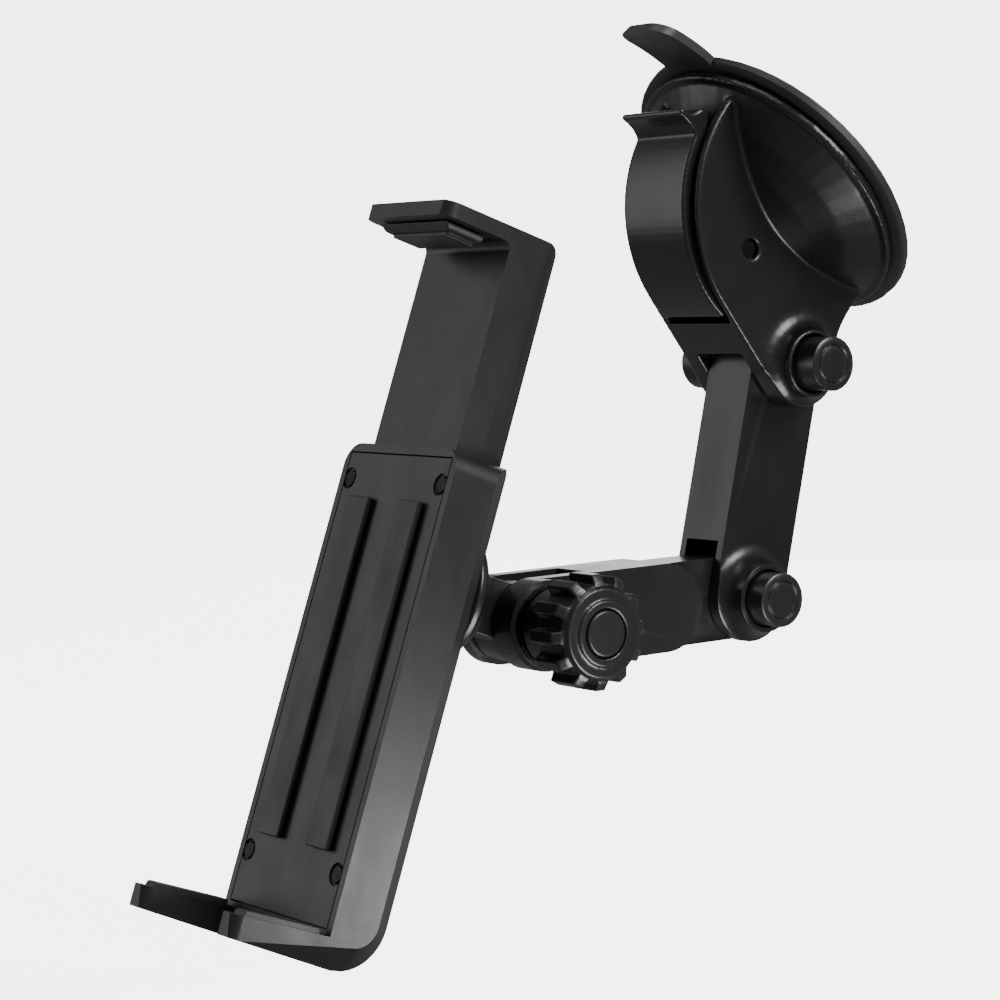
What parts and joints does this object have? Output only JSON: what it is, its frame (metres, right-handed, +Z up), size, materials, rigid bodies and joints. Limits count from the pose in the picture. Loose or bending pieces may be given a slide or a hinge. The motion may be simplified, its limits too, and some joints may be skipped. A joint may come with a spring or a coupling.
{
  "type": "car phone mount",
  "caption": "Car phone mount: suction base with cam lever, two-link friction arm, clamp knob and a tilting, swivelling spring-clamp cradle.",
  "frame": {"origin": "centre of the suction face that presses on the windscreen", "axes": "+X along every hinge axis, towards the clamp knob; +Y from the cradle towards the windscreen; +Z up"},
  "size_m": [0.0736, 0.1818, 0.1977],
  "materials": {
    "satin_plastic": "satin moulded black",
    "matte_plastic": "fine spark-eroded black",
    "lever_plastic": "semi-gloss black",
    "soft_rubber": "matt moulded black",
    "gel": "smooth tacky grey-black",
    "steel": "zinc plated",
    "brass": "turned"
  },
  "bodies": {
    "base": {"base_housing": "satin_plastic", "suction_cup": "soft_rubber", "gel_pad": "gel", "lever_pin": "steel", "post_spring": "steel", "upper_hinge_bolt": "steel", "upper_hinge_washer": "steel", "upper_hinge_nut": "steel", "upper_hinge_cap_right": "satin_plastic", "upper_hinge_cap_left": "satin_plastic"},
    "lever": {"cam_lever": "lever_plastic"},
    "cup_centre": {"cup_post": "steel", "cup_insert": "steel"},
    "upper_link": {"upper_arm": "satin_plastic", "lower_hinge_bolt": "steel", "lower_hinge_washer": "steel", "lower_hinge_nut": "steel", "lower_hinge_cap_right": "satin_plastic", "lower_hinge_cap_left": "satin_plastic"},
    "lower_link": {"lower_arm": "satin_plastic", "clamp_bolt": "steel", "clamp_washer": "steel"},
    "knob": {"clamp_knob": "satin_plastic", "knob_nut": "brass", "knob_cap": "satin_plastic"},
    "bracket": {"tilt_bracket": "satin_plastic", "swivel_screw": "steel"},
    "holder": {"cradle_body": "matte_plastic", "cradle_cover": "matte_plastic", "swivel_washer": "steel", "cover_screw_1": "steel", "cover_screw_2": "steel", "cover_screw_3": "steel", "cover_screw_4": "steel", "back_pad_left": "soft_rubber", "back_pad_right": "soft_rubber", "foot_pad_left": "soft_rubber", "foot_pad_right": "soft_rubber", "clamp_spring_left": "steel", "clamp_spring_right": "steel", "spring_pin": "steel"},
    "jaw": {"slider": "matte_plastic", "jaw_pad": "soft_rubber"}
  },
  "joints": [
    {"name": "lever_cam", "type": "hinge", "parent": "base", "child": "lever", "pos_m": [0, -0.0182, -0.0165], "axis": [1, 0, 0], "range_deg": [0, 60]},
    {"name": "post_slide", "type": "slide", "parent": "base", "child": "cup_centre", "axis": [0, 0.749, 0.6626], "range_m": [0, 0.002]},
    {"name": "upper_hinge", "type": "hinge", "parent": "base", "child": "upper_link", "pos_m": [0, -0.0029, -0.0422], "axis": [1, 0, 0], "range_deg": [-18, 50]},
    {"name": "lower_hinge", "type": "hinge", "parent": "upper_link", "child": "lower_link", "pos_m": [0, -0.0138, -0.0951], "axis": [1, 0, 0], "range_deg": [-20, 75]},
    {"name": "knob_turn", "type": "hinge", "parent": "lower_link", "child": "knob", "pos_m": [0, -0.0741, -0.0979], "axis": [1, 0, 0], "range_deg": [0, 360]},
    {"name": "tilt", "type": "hinge", "parent": "lower_link", "child": "bracket", "pos_m": [0, -0.0741, -0.0979], "axis": [1, 0, 0], "range_deg": [-30, 30]},
    {"name": "swivel", "type": "hinge", "parent": "bracket", "child": "holder", "pos_m": [0, -0.0741, -0.0979], "axis": [0, 0.95, -0.3123], "continuous": true},
    {"name": "jaw_slide", "type": "slide", "parent": "holder", "child": "jaw", "axis": [0, 0.3123, 0.95], "range_m": [-0.012, 0.025], "deforming": ["clamp_spring_left", "clamp_spring_right"]}
  ],
  "couplings": [
    {"joint": "post_slide", "follows": "lever_cam", "m_per_rad": 0.0019099}
  ]
}
